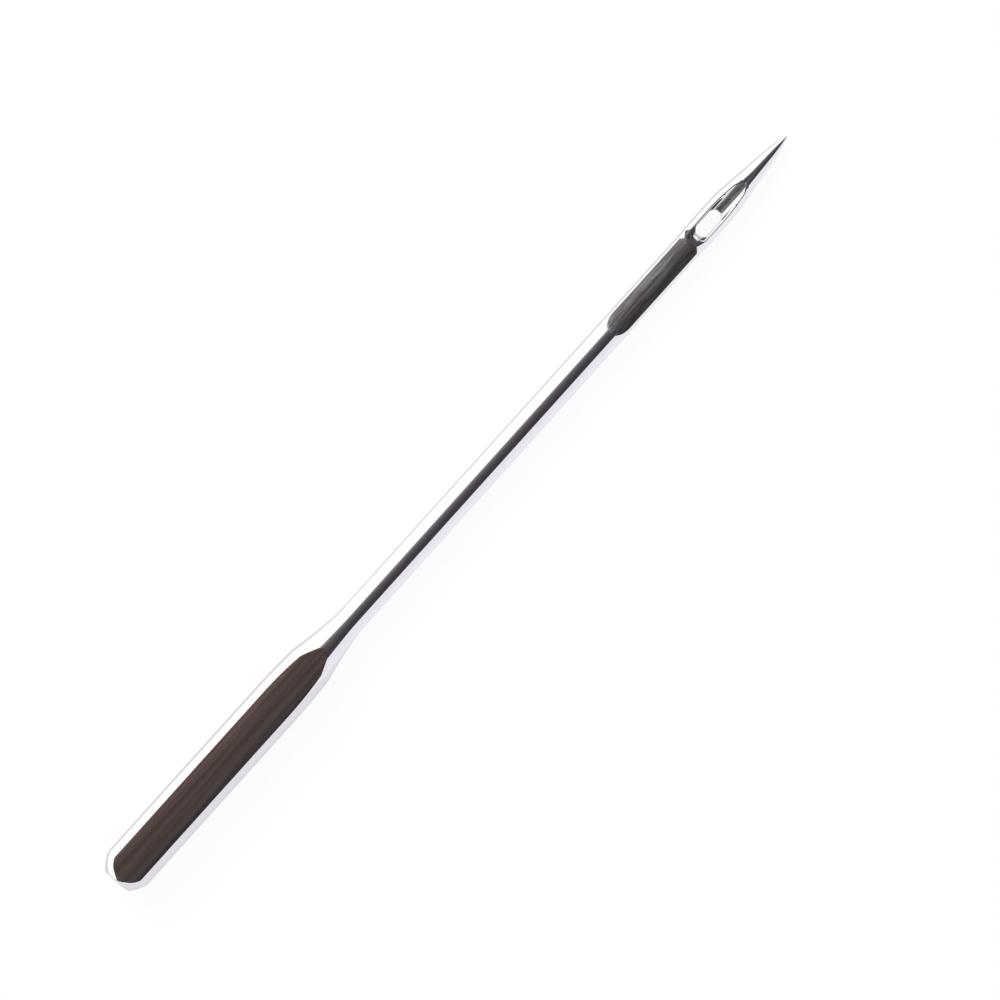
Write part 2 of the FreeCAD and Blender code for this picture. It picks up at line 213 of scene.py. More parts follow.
def arc_between(x, start, end, bend):
    """Height at x of the arc of radius bend from start to end. Its centre is on the chord's
    upright bisector, below the arc where bend is positive and above it where it is negative."""
    (x0, y0), (x1, y1) = start, end
    chord = math.hypot(x1 - x0, y1 - y0)
    reach = math.sqrt(bend ** 2 - (chord / 2) ** 2) * math.copysign(1, bend)
    cx = (x0 + x1) / 2 + reach * (y1 - y0) / chord
    cy = (y0 + y1) / 2 - reach * (x1 - x0) / chord
    return cy + math.copysign(1, bend) * leg(bend, x - cx)


def fade(part):
    """A smooth fall from one to nothing as part goes from nothing to one."""
    return 1 - part ** 2 * (3 - 2 * part)


def soft_min(a, b, reach):
    """The lesser of two heights. Where they differ by less than reach, a quarter of reach times
    the square of their nearness is taken off, which rounds the edge between them."""
    near = np.clip(1 - np.abs(a - b) / reach, 0, 1)
    return np.minimum(a, b) - near ** 2 * reach / 4


def soft_max(a, b, reach):
    """The greater of two heights, rounded in the same way."""
    return -soft_min(-a, -b, reach)


def edge_half(floor, crown, radius):
    """Half the width of a face cut into a round of a radius, where floor is the height of its
    middle and crown its radius across, negative for a hollow. The face meets the round where
    floor less y squared over twice the crown is the round's height: a quadratic in y squared."""
    b = 1 - floor / crown
    under = np.maximum(b ** 2 - (floor ** 2 - radius ** 2) / crown ** 2, 0)
    return np.sqrt(np.maximum(2 * crown ** 2 * (np.sqrt(under) - b), 0)) * (floor < radius)


# Face kinds, which are also the places of the finishes in the mesh's list
POLISHED, FLAT, SCARF, PRESSED, DARK_PATCH = range(5)
# Blends of the turned corners at the butt's bevel and at the shoulder, as shares of their ease
BEVEL_BLEND = 0.3
SHOULDER_BLEND = 0.1
# Height over which the foot of the scarf's ramp is rounded
RAMP_BLEND = 0.02 * MM
# How far past the scarf's floor its ramp takes the pressed finish
RAMP_FINISH = 0.03 * MM
# Least depth of the pressed forms under the turned and ground ones, behind and in front, and
# least distance from the slot's outline, at which a face takes the pressed finish
PRESSED_BACK = 0.01 * MM
PRESSED_FRONT = 0.03 * MM
SLOT_WALL = 0.004 * MM
# How far before the end of the neck the long groove can be
GROOVE_LEAD = 1 * MM


class Needle:
    """Sizes that follow from the driving ones, and the needle's surfaces as functions of place."""

    def __init__(self, turned, cut):
        self.turned = turned
        self.cut = cut
        t, c = turned, cut
        self.total = t.butt_to_eye + t.eye_to_tip
        self.shank = t.shank_diameter / 2
        self.blade = t.blade_diameter / 2
        self.swell = self.blade + t.swell_rise
        self.butt = self.shank - t.butt_inset
        self.shoulder_end = t.shank_length + t.shoulder_length
        self.shoulder_curve = (t.shoulder_length ** 2 + t.shoulder_drop ** 2) / (2 * t.shoulder_drop)
        self.cone_end = self.shoulder_end + t.cone_length
        self.neck_end = self.cone_end + t.neck_length
        self.neck_curve = (t.neck_length ** 2 + t.neck_rise ** 2) / (2 * t.neck_rise)
        self.swell_top = self.total - t.swell_to_tip
        self.swell_start = self.swell_top - t.swell_length
        self.swell_curve = (t.swell_length ** 2 + t.swell_rise ** 2) / (2 * t.swell_rise)
        self.set_point()
        self.set_rest()
        self.flat = self.shank - c.flat_depth
        self.scarf_floor = self.blade - c.scarf_depth
        self.scarf_end = t.butt_to_eye - c.scarf_to_eye
        self.scarf_run = math.sqrt(2 * c.scarf_curve * c.scarf_depth - c.scarf_depth ** 2)
        self.scarf_start = self.scarf_end - c.scarf_length
        self.eye_start = t.butt_to_eye
        self.eye_end = t.butt_to_eye + c.eye_length
        self.recess_floor = self.swell - c.recess_depth
        self.recess_start = t.butt_to_eye - c.recess_past_eye
        self.recess_tip = self.eye_end + c.recess_length
        self.approach_start = self.recess_start - c.approach_length
        self.groove_floor = self.blade - c.groove_depth
        self.groove_end = t.butt_to_eye + c.eye_length / 2

    def set_point(self):
        """The point: an arc from the swell, a straight taper that leaves it smoothly, and a nose
        arc that leaves the taper smoothly and meets the ball at the tip."""
        t = self.turned
        self.nose_start = self.total - t.nose_length
        run = self.nose_start - self.swell_top
        rise = t.nose_diameter / 2 - self.swell + t.point_curve
        self.angle = math.atan2(run, rise) - math.acos(t.point_curve / math.hypot(run, rise))
        sine, cosine = math.sin(self.angle), math.cos(self.angle)
        self.taper_start = self.swell_top + t.point_curve * sine
        self.taper_radius = self.swell - t.point_curve * (1 - cosine)
        run = t.nose_length - t.tip_radius + t.tip_radius * sine
        rise = t.tip_radius * cosine - t.nose_diameter / 2
        inner = (run ** 2 + rise ** 2) / (-2 * (run * sine + rise * cosine))
        self.nose_curve = inner + t.tip_radius
        self.tip_sine = run / inner + sine

    def set_rest(self):
        """The rest pose: the line that touches the shoulder's arc and the swell's arc is the
        floor, and the middle of the needle's length is over the origin."""
        t = self.turned
        centre = self.shoulder_curve - self.shank
        run = self.swell_top - t.shank_length
        rise = centre - (t.point_curve - self.swell)
        lift = math.asin((self.shoulder_curve - t.point_curve) / math.hypot(run, rise))
        self.lean = lift - math.atan2(rise, run)
        sine, cosine = math.sin(self.lean), math.cos(self.lean)
        self.rest_height = self.shoulder_curve + t.shank_length * sine - centre * cosine
        self.rest_middle = (self.total * cosine - self.butt * sine) / 2

    def radius(self, x):
        """The turned outline: arcs and lines end to end, with the two corners, at the bevel and
        at the shoulder, rounded where their neighbours come close."""
        t = self.turned
        bevel = arc_between(x, (0, self.butt), (t.butt_bevel, self.shank), t.butt_curve)
        bevel = np.where(x < 2 * t.butt_bevel, bevel, 2 * self.shank)
        shank = self.shank - sag(np.maximum(x - t.shank_length, 0), self.shoulder_curve)
        corner = (self.shoulder_end, self.shank - t.shoulder_drop)
        foot = (self.cone_end, self.blade + t.neck_rise)
        cone = arc_between(np.maximum(x, t.shank_length), corner, foot, -t.cone_curve)
        head = soft_min(bevel, shank, BEVEL_BLEND * t.corner_ease)
        head = soft_min(head, cone, SHOULDER_BLEND * t.corner_ease)
        neck = self.blade + sag(self.neck_end - x, self.neck_curve)
        swell = self.swell - sag(self.swell_top - x, self.swell_curve)
        point = self.swell - sag(x - self.swell_top, t.point_curve)
        taper = self.taper_radius - (x - self.taper_start) * math.tan(self.angle)
        nose_x = self.nose_start - self.nose_curve * math.sin(self.angle)
        nose_y = t.nose_diameter / 2 - self.nose_curve * math.cos(self.angle)
        nose = nose_y + leg(self.nose_curve, x - nose_x)
        pieces = [
            (self.cone_end, head),
            (self.neck_end, neck),
            (self.swell_start, np.full_like(x, self.blade)),
            (self.swell_top, swell),
            (self.taper_start, point),
            (self.nose_start, taper),
        ]
        return np.select([x < end for end, _ in pieces], [height for _, height in pieces], nose)

    def ground(self, x, y):
        """Height of the ground faces: the flat up to the cone, and the scarf, whose floor rises
        by an arc at its start and by a ramp at its end. Both are crowned across."""
        c = self.cut
        flat = np.where(x < self.cone_end, self.flat, 2 * self.shank)
        rise = sag(np.maximum(self.scarf_start + self.scarf_run - x, 0), c.scarf_curve)
        ramp = soft_max(0 * x, (x - self.scarf_end) * math.tan(c.scarf_ramp), RAMP_BLEND)
        scarf = np.where(x > self.neck_end, self.scarf_floor + rise + ramp, 2 * self.shank)
        return np.minimum(flat, scarf) - y ** 2 / (2 * self.crown(x))

    def crown(self, x):
        """Radius across the ground face at a station."""
        return np.where(x < self.neck_end, self.cut.flat_crown, self.cut.scarf_crown)

    def recess_half(self, x):
        """Half the width of the recess's outline at a station: straight sides, two arcs that
        draw it in, and a small round end. Its blade end is left to the approach."""
        c = self.cut
        side = c.recess_width / 2
        bend = self.eye_start + c.recess_straight
        last = self.recess_tip - c.recess_end
        run = last - bend
        curve = (run ** 2 + side ** 2 - c.recess_end ** 2) / (2 * (side - c.recess_end))
        meet = last + c.recess_end / (curve - c.recess_end) * run
        drawn = leg(curve, x - bend) + side - curve
        small = leg(c.recess_end, x - last)
        return np.select([x < bend, x < meet], [side + 0 * x, drawn], small)

    def approach(self, x, y):
        """Height of the sloped approach to the eye: a plane down towards the eye from the top of
        the blade, hollowed across by an arc."""
        c = self.cut
        run = x - self.approach_start
        return self.blade - run * math.tan(c.approach_slope) + sag(y, c.approach_hollow)

    def approach_half(self, x, radius):
        """Half the width at which the approach leaves the blade."""
        return edge_half(self.approach(x, 0 * x), -self.cut.approach_hollow, radius)

    def pressed(self, x, y):
        """Height of the recess and the short groove. The recess is a level floor with a sloping
        wall inside its outline, or the approach where that is higher. The groove is a wide
        hollow whose floor rises by an arc."""
        c = self.cut
        inside = self.recess_half(x) - np.abs(y)
        wall = soft_max(0 * x, (c.recess_foot - inside) * math.tan(c.recess_slope), c.foot_ease)
        recess = soft_max(self.recess_floor + wall, self.approach(x, y), c.foot_ease)
        recess = np.where(x > self.approach_start - c.recess_rim, recess, 2 * self.shank)
        past = np.maximum(x - self.eye_end - c.short_groove_level, 0)
        hollow = self.swell - c.short_groove_depth + sag(past, c.short_groove_curve)
        hollow = hollow + sag(y, c.short_groove_radius)
        hollow = np.where(x > self.eye_end - c.eye_length / 2, hollow, 2 * self.shank)
        return soft_min(recess, hollow, c.short_groove_ease)

    def in_dark_patch(self, x, y):
        """Whether a place is in the dark patch beside the ramp: on one side of the needle it widens
        from before the ramp to its corner and narrows again to the recess's side."""
        c = self.cut
        corner = self.approach_start + c.patch_length
        widens = c.patch_reach - (corner - x) * c.patch_slant
        narrows = c.patch_reach - (x - corner) * c.patch_return
        inside = (y > 0) & (y < np.minimum(widens, narrows))
        return inside & (x > self.scarf_end - c.patch_length) & (x < self.eye_start)

    def from_slot(self, x, y):
        """Distance from the eye's outline, negative inside it: the distance from the middle
        block of the slot, whose corners are drawn in by their radius, less that radius."""
        c = self.cut
        near = np.clip(x, self.eye_start + c.eye_corner, self.eye_end - c.eye_corner)
        side = c.eye_width / 2 - c.eye_corner
        return np.hypot(x - near, np.maximum(np.abs(y) - side, 0)) - c.eye_corner

    def slot_half(self, x):
        """Half the width of the eye at a station. Outside the eye it is that of the flat end."""
        c = self.cut
        side = c.eye_width / 2 - c.eye_corner
        near = np.clip(x, self.eye_start + c.eye_corner, self.eye_end - c.eye_corner)
        return side + leg(c.eye_corner, x - near)

    def rim_ease(self, x, y):
        """Radius of the slot's rim on the back, which is wider in the middle of its end by the
        scarf."""
        c = self.cut
        along = np.clip((x - self.eye_start) / c.eye_corner, 0, 1)
        aside = np.clip(2 * np.abs(y) / c.eye_head_half - 1, 0, 1)
        return c.eye_ease + (c.eye_head_ease - c.eye_ease) * fade(along) * fade(aside)

    def rim_drop(self, x, y, ease):
        """How far the polished rim of the slot falls: the sag of a quarter round at the slot."""
        away = np.clip(self.from_slot(x, y), 0, ease)
        return sag(ease - away, ease)

    def back(self, x, y, radius):
        """Height of the needle's back over a place, and the kind of the surface there: turned
        blank, flat, scarf, or pressed in the recess and the short groove."""
        c = self.cut
        blank = leg(radius, y)
        ground = self.ground(x, y)
        pressed = self.pressed(x, y)
        kind = np.where(ground < blank, np.where(x < self.neck_end, FLAT, SCARF), POLISHED)
        kind = np.where((kind == SCARF) & (x > self.scarf_end + RAMP_FINISH), PRESSED, kind)
        kind = np.where(pressed < np.minimum(blank, ground) - PRESSED_BACK, PRESSED, kind)
        height = soft_min(blank, ground, c.ground_edge)
        before = np.clip((self.recess_tip - x) / c.recess_end, 0, 1)
        after = np.clip((x - self.recess_start) / c.recess_past_eye, 0, 1)
        rim = c.recess_rim + (c.recess_end_rim - c.recess_rim) * fade(before)
        rim = rim + (c.approach_rim - c.recess_rim) * fade(after)
        height = soft_min(height, pressed, rim)
        return height - self.rim_drop(x, y, self.rim_ease(x, y)), kind

    def groove_centre(self, x):
        """Height of the centre of the long groove's round bottom. It drops by an arc at each
        end of the groove until the groove has run out."""
        c = self.cut
        top = sag(np.maximum(c.groove_start - x, 0), c.groove_top_curve)
        eye = sag(np.maximum(x - self.groove_end, 0), c.groove_eye_curve)
        return self.groove_floor - c.groove_width / 2 - top - eye


def span(first, last, count, crowd):
    """Stations from first up to last, without last, crowded at one end or at both."""
    part = np.linspace(0, 1, count, endpoint=False)
    shapes = {
        "even": part,
        "start": 1 - np.cos(part * math.pi / 2),
        "end": np.sin(part * math.pi / 2),
        "both": (1 - np.cos(part * math.pi)) / 2,
    }
    return first + (last - first) * shapes[crowd]


# The butt's face: its rings as shares of its radius, how far its rim reaches along the needle as
# a share of the corner ease, and the stations round that rim
BUTT_RINGS = (0.25, 0.5, 0.75, 0.9)
BUTT_RIM = 0.6
BUTT_RIM_STATIONS = 4
# From the shoulder's end to where the flat runs out, and from the middle of the eye to where the
# long groove has all but run out
FLAT_END = 0.93 * MM
GROOVE_END = 0.82 * MM
# How far close stations reach before and after the flat's end, the scarf's start, the foot of
# its ramp, the eye's far end and the recess's small end
CLOSE_FLAT = (0.2 * MM, 0.15 * MM)
CLOSE_SCARF = 0.02 * MM
CLOSE_RAMP = 0.05 * MM
CLOSE_EYE = 0.035 * MM
CLOSE_RECESS = (0.35 * MM, 0.08 * MM)
BALL_STATIONS = 8


def stations(needle):
    """Places along the axis and the outline's radius there: the butt's face out from its
    middle, the turned outline, crowded where something starts or ends, and the tip's ball."""
    t, c = needle.turned, needle.cut
    ease = t.corner_ease
    face = np.array(BUTT_RINGS) * (needle.butt - ease)
    first = BUTT_RIM * ease
    # The butt's rim is a curve with two ends and a corner between them
    part = np.linspace(0, 1, BUTT_RIM_STATIONS, endpoint=False)
    rim_x = part ** 2 * first
    rim = (1 - part) ** 2 * (needle.butt - ease) + 2 * part * (1 - part) * needle.butt
    rim = rim + part ** 2 * needle.radius(np.array([first]))
    flat_end = needle.shoulder_end + FLAT_END
    ball_start = needle.total - t.tip_radius * (1 - needle.tip_sine)
    # Each row: where a stretch starts, how many stations it has, and where they crowd
    rows = [
        (first, 10, "even"),
        (t.butt_bevel - 2 * ease, 8, "even"),
        (t.butt_bevel + 2 * ease, 16, "start"),
        (t.shank_length, 14, "even"),
        (needle.shoulder_end - 2 * ease, 8, "even"),
        (needle.shoulder_end + 2 * ease, 14, "even"),
        (flat_end - CLOSE_FLAT[0], 18, "even"),
        (flat_end + CLOSE_FLAT[1], 10, "even"),
        (needle.cone_end, 8, "even"),
        (needle.neck_end, 14, "even"),
        (c.groove_start, 18, "end"),
        (needle.scarf_start - CLOSE_SCARF, 34, "start"),
        (needle.scarf_start + needle.scarf_run, 16, "both"),
        (needle.scarf_end - CLOSE_RAMP, 8, "even"),
        (needle.scarf_end + CLOSE_RAMP, 26, "even"),
        (needle.eye_start - c.eye_head_ease, 20, "end"),
        (needle.eye_start, 18, "start"),
        (needle.eye_start + c.eye_corner, 20, "even"),
        (needle.eye_end - c.eye_corner, 18, "end"),
        (needle.eye_end, 6, "start"),
        (needle.eye_end + CLOSE_EYE, 16, "even"),
        (needle.groove_end + GROOVE_END, 34, "even"),
        (needle.recess_tip - CLOSE_RECESS[0], 34, "even"),
        (needle.recess_tip + CLOSE_RECESS[1], 18, "even"),
        (needle.nose_start, 30, "end"),
    ]
    ends = [start for start, _, _ in rows[1:]] + [ball_start]
    along = np.concatenate([span(row[0], end, *row[1:]) for row, end in zip(rows, ends)])
    turn = np.linspace(math.asin(needle.tip_sine), math.pi / 2, BALL_STATIONS, endpoint=False)
    ball = needle.total - t.tip_radius * (1 - np.sin(turn))
    x = np.concatenate([0 * face, rim_x, along, ball])
    radius = np.concatenate([face, rim, needle.radius(along), t.tip_radius * np.cos(turn)])
    return x, radius


# Columns round half the section: the slot's flat end, out to the crease, on to the side, the
# front, the long groove's lip, its wall, and the slot's flat end in front
SLOT_COLUMNS = 4
CREASE_COLUMNS = 28
SIDE_COLUMNS = 24
FRONT_COLUMNS = 13
LIP_COLUMNS = 4
WALL_COLUMNS = 9
TUBE_ROWS = 14
# How the columns of the side and of the front crowd towards the crease and the lip
SIDE_CROWD = 1.6
FRONT_CROWD = 1.25
# Outside the eye, the middle columns' half width is at most this share of the radius, and the
# crease is between these. Beside the eye it is at least this far from the slot.
MIDDLE_SHARE = 0.12
CREASE_SHARES = (0.3, 0.93)
SLOT_MARGIN = 0.09 * MM
# The groove's lip is at most this share of the radius. Where the groove has run out, its columns
# keep a least half width, which is at most that share too, and the lip's columns reach further
# by this factor.
LIP_SHARE = 0.2
GONE_HALF = 0.1 * MM
GONE_REACH = 1.4
# Least length of the groove's wall in a section
WALL_LEAST = 0.01 * MM


def along_columns(start, end, count, shape=1.0):
    """Values from start to end, one column each after the first, for every station at once."""
    return start + (end - start) * (np.arange(1, count + 1) / count) ** shape


def middle_columns(needle, x, radius):
    """Which stations are in the eye, and half the width of the middle columns at each station."""
    inside = (x >= needle.eye_start) & (x <= needle.eye_end)
    side = needle.cut.eye_width / 2 - needle.cut.eye_corner
    return inside, np.where(inside, needle.slot_half(x), np.minimum(side, MIDDLE_SHARE * radius))


def back_half(needle, x, radius):
    """The back of half a section, from the middle to the side, a row for each station. Across,
    columns run to the slot's half width, to the crease and round to the side; their height is
    the back's. The stations and their radii come as columns."""
    inside, inner = middle_columns(needle, x, radius)
    ground = edge_half(needle.ground(x, 0 * x), needle.crown(x), radius)
    recess = np.minimum(needle.approach_half(x, radius), needle.recess_half(x))
    recess = np.where((x > needle.approach_start) & (x < needle.recess_tip), recess, 0)
    crease = np.clip(np.maximum(ground, recess), CREASE_SHARES[0] * radius, CREASE_SHARES[1] * radius)
    crease = np.where(inside, np.maximum(crease, inner + SLOT_MARGIN), crease)
    first = along_columns(0, inner, SLOT_COLUMNS)
    part = (1 - np.cos(np.arange(1, CREASE_COLUMNS + 1) / CREASE_COLUMNS * math.pi)) / 2
    second = inner + (crease - inner) * part
    turn = along_columns(np.arcsin(crease / radius), math.pi / 2, SIDE_COLUMNS, SIDE_CROWD)
    y = np.hstack([0 * x, first, second, radius * np.sin(turn)])
    z, _ = needle.back(x, y, radius)
    return y, z


def front_half(needle, x, radius):
    """The front of half a section, from just past the side to the middle, in the same way.

    The long groove is a round bottom under straight walls. Its lip is an arc inside the metal
    that touches the blank's circle and the wall, or the round bottom where the walls have run
    out. Past the groove's ends the same columns lie on the blank."""
    c = needle.cut
    half, lip = c.groove_width / 2, np.minimum(c.groove_lip, LIP_SHARE * radius)
    centre = needle.groove_centre(x)
    inside, inner = middle_columns(needle, x, radius)
    wall = np.where(inside, np.maximum(half, inner), half)
    # The lip's centre for a straight wall, and for the round bottom
    across = wall + lip
    straight_z = -leg(radius - lip, across)
    deep = np.abs(centre)
    round_z = -((radius - lip) ** 2 - (half + lip) ** 2 + deep ** 2) / (2 * deep)
    round_y = leg(radius - lip, round_z)
    touch = round_y * half / (half + lip)
    straight = (straight_z <= centre) | (inside & (inner >= touch))
    straight = straight & (radius > across)
    lip_y = np.where(straight, across, round_y)
    lip_z = np.where(straight, straight_z, round_z)
    # Where the wall ends and where the blank starts
    foot_y = np.where(straight, wall, touch)
    foot_z = np.where(straight, straight_z, centre + (round_z - centre) * half / (half + lip))
    body_y = lip_y * radius / (radius - lip)
    # Run-outs: the columns keep a least width on the blank
    least = np.minimum(GONE_HALF, LIP_SHARE * radius)
    clear = deep > radius + half
    gone = ~straight & ((foot_y < least) | clear)
    outer = np.where(gone, np.maximum(body_y, GONE_REACH * least), body_y)
    outer = np.where(gone & clear, GONE_REACH * least, outer)
    # Front columns, from the side down to the lip
    last = math.pi - np.arcsin(np.clip(outer / radius, 0, 1))
    part = 1 - (1 - np.arange(1, FRONT_COLUMNS + 1) / FRONT_COLUMNS) ** FRONT_CROWD
    turn = math.pi / 2 + (last - math.pi / 2) * part
    front_y, front_z = radius * np.sin(turn), radius * np.cos(turn)
    # Lip columns, by angle about the lip's centre
    start = np.arctan2(body_y - lip_y, lip_z + leg(radius, body_y))
    end = np.arctan2(foot_y - lip_y, lip_z - foot_z)
    turn = along_columns(start, end, LIP_COLUMNS)
    edge_y, edge_z = lip_y + lip * np.sin(turn), lip_z - lip * np.cos(turn)
    # Wall columns by length: up the wall, then round the bottom to the inner column
    low = np.arcsin(np.clip(inner / half, 0, 1))
    high = np.where(straight, math.pi / 2, np.arcsin(np.clip(foot_y / half, 0, 1)))
    rise = np.where(straight, np.maximum(centre - foot_z, 0), 0)
    bend = np.maximum(high - low, 0) * half
    way = along_columns(0, np.maximum(rise + bend, WALL_LEAST), WALL_COLUMNS)
    turn = high - np.where(bend > 0, np.maximum(way - rise, 0) / half, 0)
    wall_y = np.where(way <= rise, foot_y, half * np.sin(turn))
    wall_z = np.where(way <= rise, foot_z + way, centre + half * np.cos(turn))
    over = inside & (inner >= foot_y)
    wall_y = np.where(over, inner, wall_y)
    wall_z = np.where(over, foot_z + way, wall_z)
    # The slot's flat end
    in_y = along_columns(inner, 0, SLOT_COLUMNS)
    in_z = centre + leg(half, in_y)
    share = np.linspace(0, 1, WALL_COLUMNS + 1)[1:]
    wall_z = wall_z + needle.rim_drop(x, wall_y, c.eye_ease) * share
    in_z = in_z + needle.rim_drop(x, in_y, c.eye_ease)
    y = np.hstack([front_y, edge_y, wall_y, in_y])
    z = np.hstack([front_z, edge_z, wall_z, in_z])
    # Where the groove has all but run out, height is a function of the place across
    plain_y = np.hstack([
        front_y,
        along_columns(outer, least, LIP_COLUMNS),
        along_columns(least, inner, WALL_COLUMNS),
        in_y,
    ])
    trough = -(centre + leg(half, plain_y))
    blank = leg(radius, plain_y)
    arc = leg(lip, plain_y - lip_y) - lip_z
    shallow = np.select([plain_y < foot_y, plain_y < body_y], [trough, arc], blank)
    shallow = np.where(clear, blank, shallow)
    return np.where(gone, plain_y, y), np.where(gone, -shallow, z)


# Stations closer than this, in metres, are the same
SAME_PLACE = 1e-9


def needle_mesh(needle):
    """The whole closed surface: a grid of stations by columns, a tube through the eye, and a
    fan at each end. The other half is the mirror image."""
    x, radius = stations(needle)
    back_y, back_z = back_half(needle, x[:, None], radius[:, None])
    front_y, front_z = front_half(needle, x[:, None], radius[:, None])
    half_y = np.hstack([back_y, front_y])
    half_z = np.hstack([back_z, front_z])
    columns = half_y.shape[1]
    # The ring goes down the +y half and back up the other
    ring_y = np.hstack([half_y, -half_y[:, -2:0:-1]])
    ring_z = np.hstack([half_z, half_z[:, -2:0:-1]])
    around = ring_y.shape[1]
    count = len(x)
    points = np.stack([np.repeat(x[:, None], around, axis=1), ring_y, ring_z], axis=-1)
    number = np.arange(count * around).reshape(count, around)
    following = np.roll(number, -1, axis=1)
    quads = np.stack([number[:-1], following[:-1], following[1:], number[1:]], axis=-1)
    # The hole where the eye goes through: between its first and last station, the columns of the
    # slot's width on the back and in front
    first = int(np.searchsorted(x, needle.eye_start - SAME_PLACE))
    last = int(np.searchsorted(x, needle.eye_end - SAME_PLACE))
    kept = np.ones((count - 1, around), bool)
    wide = SLOT_COLUMNS
    middle = columns - 1
    kept[first:last, :wide] = False
    kept[first:last, around - wide:] = False
    kept[first:last, middle - wide:middle + wide] = False
    faces = quads[kept]
    # The tube: the same places round the slot on the back and in front, and rows between them
    across = np.arange(-wide, wide + 1)
    through = np.arange(first, last + 1)
    top = np.concatenate([
        number[first, across % around],
        number[through[1:-1], wide],
        number[last, across[::-1] % around],
        number[through[-2:0:-1], around - wide],
    ])
    bottom = np.concatenate([
        number[first, middle - across],
        number[through[1:-1], middle - wide],
        number[last, middle - across[::-1]],
        number[through[-2:0:-1], middle + wide],
    ])
    flat_points = points.reshape(-1, 3)
    share = (np.arange(1, TUBE_ROWS) / TUBE_ROWS)[:, None, None]
    tube = flat_points[top] * (1 - share) + flat_points[bottom] * share
    start = len(flat_points)
    tube_number = start + np.arange(tube.shape[0] * tube.shape[1]).reshape(tube.shape[:2])
    tube_number = np.vstack([top, tube_number, bottom])
    beside = np.roll(tube_number, -1, axis=1)
    tube_faces = np.stack([tube_number[:-1], tube_number[1:], beside[1:], beside[:-1]], axis=-1)
    tube_faces = tube_faces.reshape(-1, 4)[:, ::-1]
    ends = np.array([[0, 0, 0], [needle.total, 0, 0]])
    all_points = np.vstack([flat_points, tube.reshape(-1, 3), ends])
    butt, tip = len(all_points) - 2, len(all_points) - 1
    butt_fan = np.stack([np.full(around, butt), following[0], number[0]], axis=-1)
    tip_fan = np.stack([np.full(around, tip), number[-1], following[-1]], axis=-1)
    return all_points, np.vstack([faces, tube_faces]), np.vstack([butt_fan, tip_fan])


def leaned(needle, points):
    """The points turned about y by the lean, and moved so that the needle rests on the floor."""
    sine, cosine = math.sin(needle.lean), math.cos(needle.lean)
    x, y, z = points.T
    return np.stack([
        x * cosine + z * sine - needle.rest_middle,
        y,
        z * cosine - x * sine + needle.rest_height,
    ], axis=-1)


def face_kinds(needle, points, faces):
    """Which finish each face has, from the surface that its middle lies on."""
    middle = points[faces].mean(axis=1)
    x, y, z = middle.T
    radius = needle.radius(x)
    _, kind = needle.back(x, y, radius)
    kind = np.where(z > 0, kind, POLISHED)
    kind = np.where((kind == POLISHED) & needle.in_dark_patch(x, y), DARK_PATCH, kind)
    sunk = (z <= 0) & (np.hypot(y, z) < radius - PRESSED_FRONT)
    sunk = sunk & (x > needle.neck_end - GROOVE_LEAD) & (x < needle.nose_start)
    walls = (x > needle.eye_start) & (x < needle.eye_end) & (needle.from_slot(x, y) < SLOT_WALL)
    return np.where(sunk | walls, PRESSED, kind)


def build_mesh(name, points, quads, fans, materials, kinds):
    """A smooth mesh object from whole arrays, with one material for each finish."""
    used, places = np.unique(np.concatenate([quads.ravel(), fans.ravel()]), return_inverse=True)
    loops = places.astype(np.int32)
    totals = np.concatenate([np.full(len(quads), 4), np.full(len(fans), 3)]).astype(np.int32)
    starts = np.concatenate([[0], np.cumsum(totals)[:-1]]).astype(np.int32)
    mesh = bpy.data.meshes.new(name)
    mesh.vertices.add(len(used))
    mesh.vertices.foreach_set("co", points[used].astype(np.float32).ravel())
    mesh.loops.add(len(loops))
    mesh.loops.foreach_set("vertex_index", loops)
    mesh.polygons.add(len(totals))
    mesh.polygons.foreach_set("loop_start", starts)
    mesh.polygons.foreach_set("loop_total", totals)
    for material in materials:
        mesh.materials.append(material)
    mesh.polygons.foreach_set("material_index", kinds.astype(np.int32))
    mesh.update(calc_edges=True)
    mesh.validate()
    mesh.shade_smooth()
    piece = bpy.data.objects.new(name, mesh)
    bpy.context.scene.collection.objects.link(piece)
    return piece


def linear(code):
    """An sRGB hex colour as linear red, green, blue and alpha."""
    values = np.array([int(code[place:place + 2], 16) for place in (1, 3, 5)]) / 255
    low = values / 12.92
    high = ((values + 0.055) / 1.055) ** 2.4
    return (*np.where(values <= 0.04045, low, high).tolist(), 1.0)


def node(tree, kind, settings=None, **inputs):
    """One shader node with its settings, its values, and links from other nodes' outputs."""
    made = tree.nodes.new(kind)
    for setting, value in (settings or {}).items():
        setattr(made, setting, value)
    for name, value in inputs.items():
        socket = made.inputs[int(name[1:])] if name[1:].isdigit() else made.inputs[name.replace("_", " ")]
        if isinstance(value, bpy.types.NodeSocket):
            tree.links.new(value, socket)
        else:
            socket.default_value = value
    return made


def new_material(name):
    """An empty node material and its tree."""
    material = bpy.data.materials.new(name)
    material.use_nodes = True
    material.node_tree.nodes.clear()
    return material, material.node_tree


def result(tree, operation, first, second=0.0):
    """The output of one mathematical operation on two values or outputs."""
    return node(tree, "ShaderNodeMath", {"operation": operation}, _0=first, _1=second).outputs[0]


def parts_of(tree, vector):
    """The outputs for a vector's x, y and z."""
    return node(tree, "ShaderNodeSeparateXYZ", _0=vector).outputs


def mapped(tree, place, turn=(0.0, 0.0, 0.0), stretch=1.0):
    """Coordinates on which a pattern is stretched along x, then turned."""
    return node(tree, "ShaderNodeMapping", Vector=place, Rotation=turn,
                Scale=(1 / stretch, 1.0, 1.0)).outputs[0]


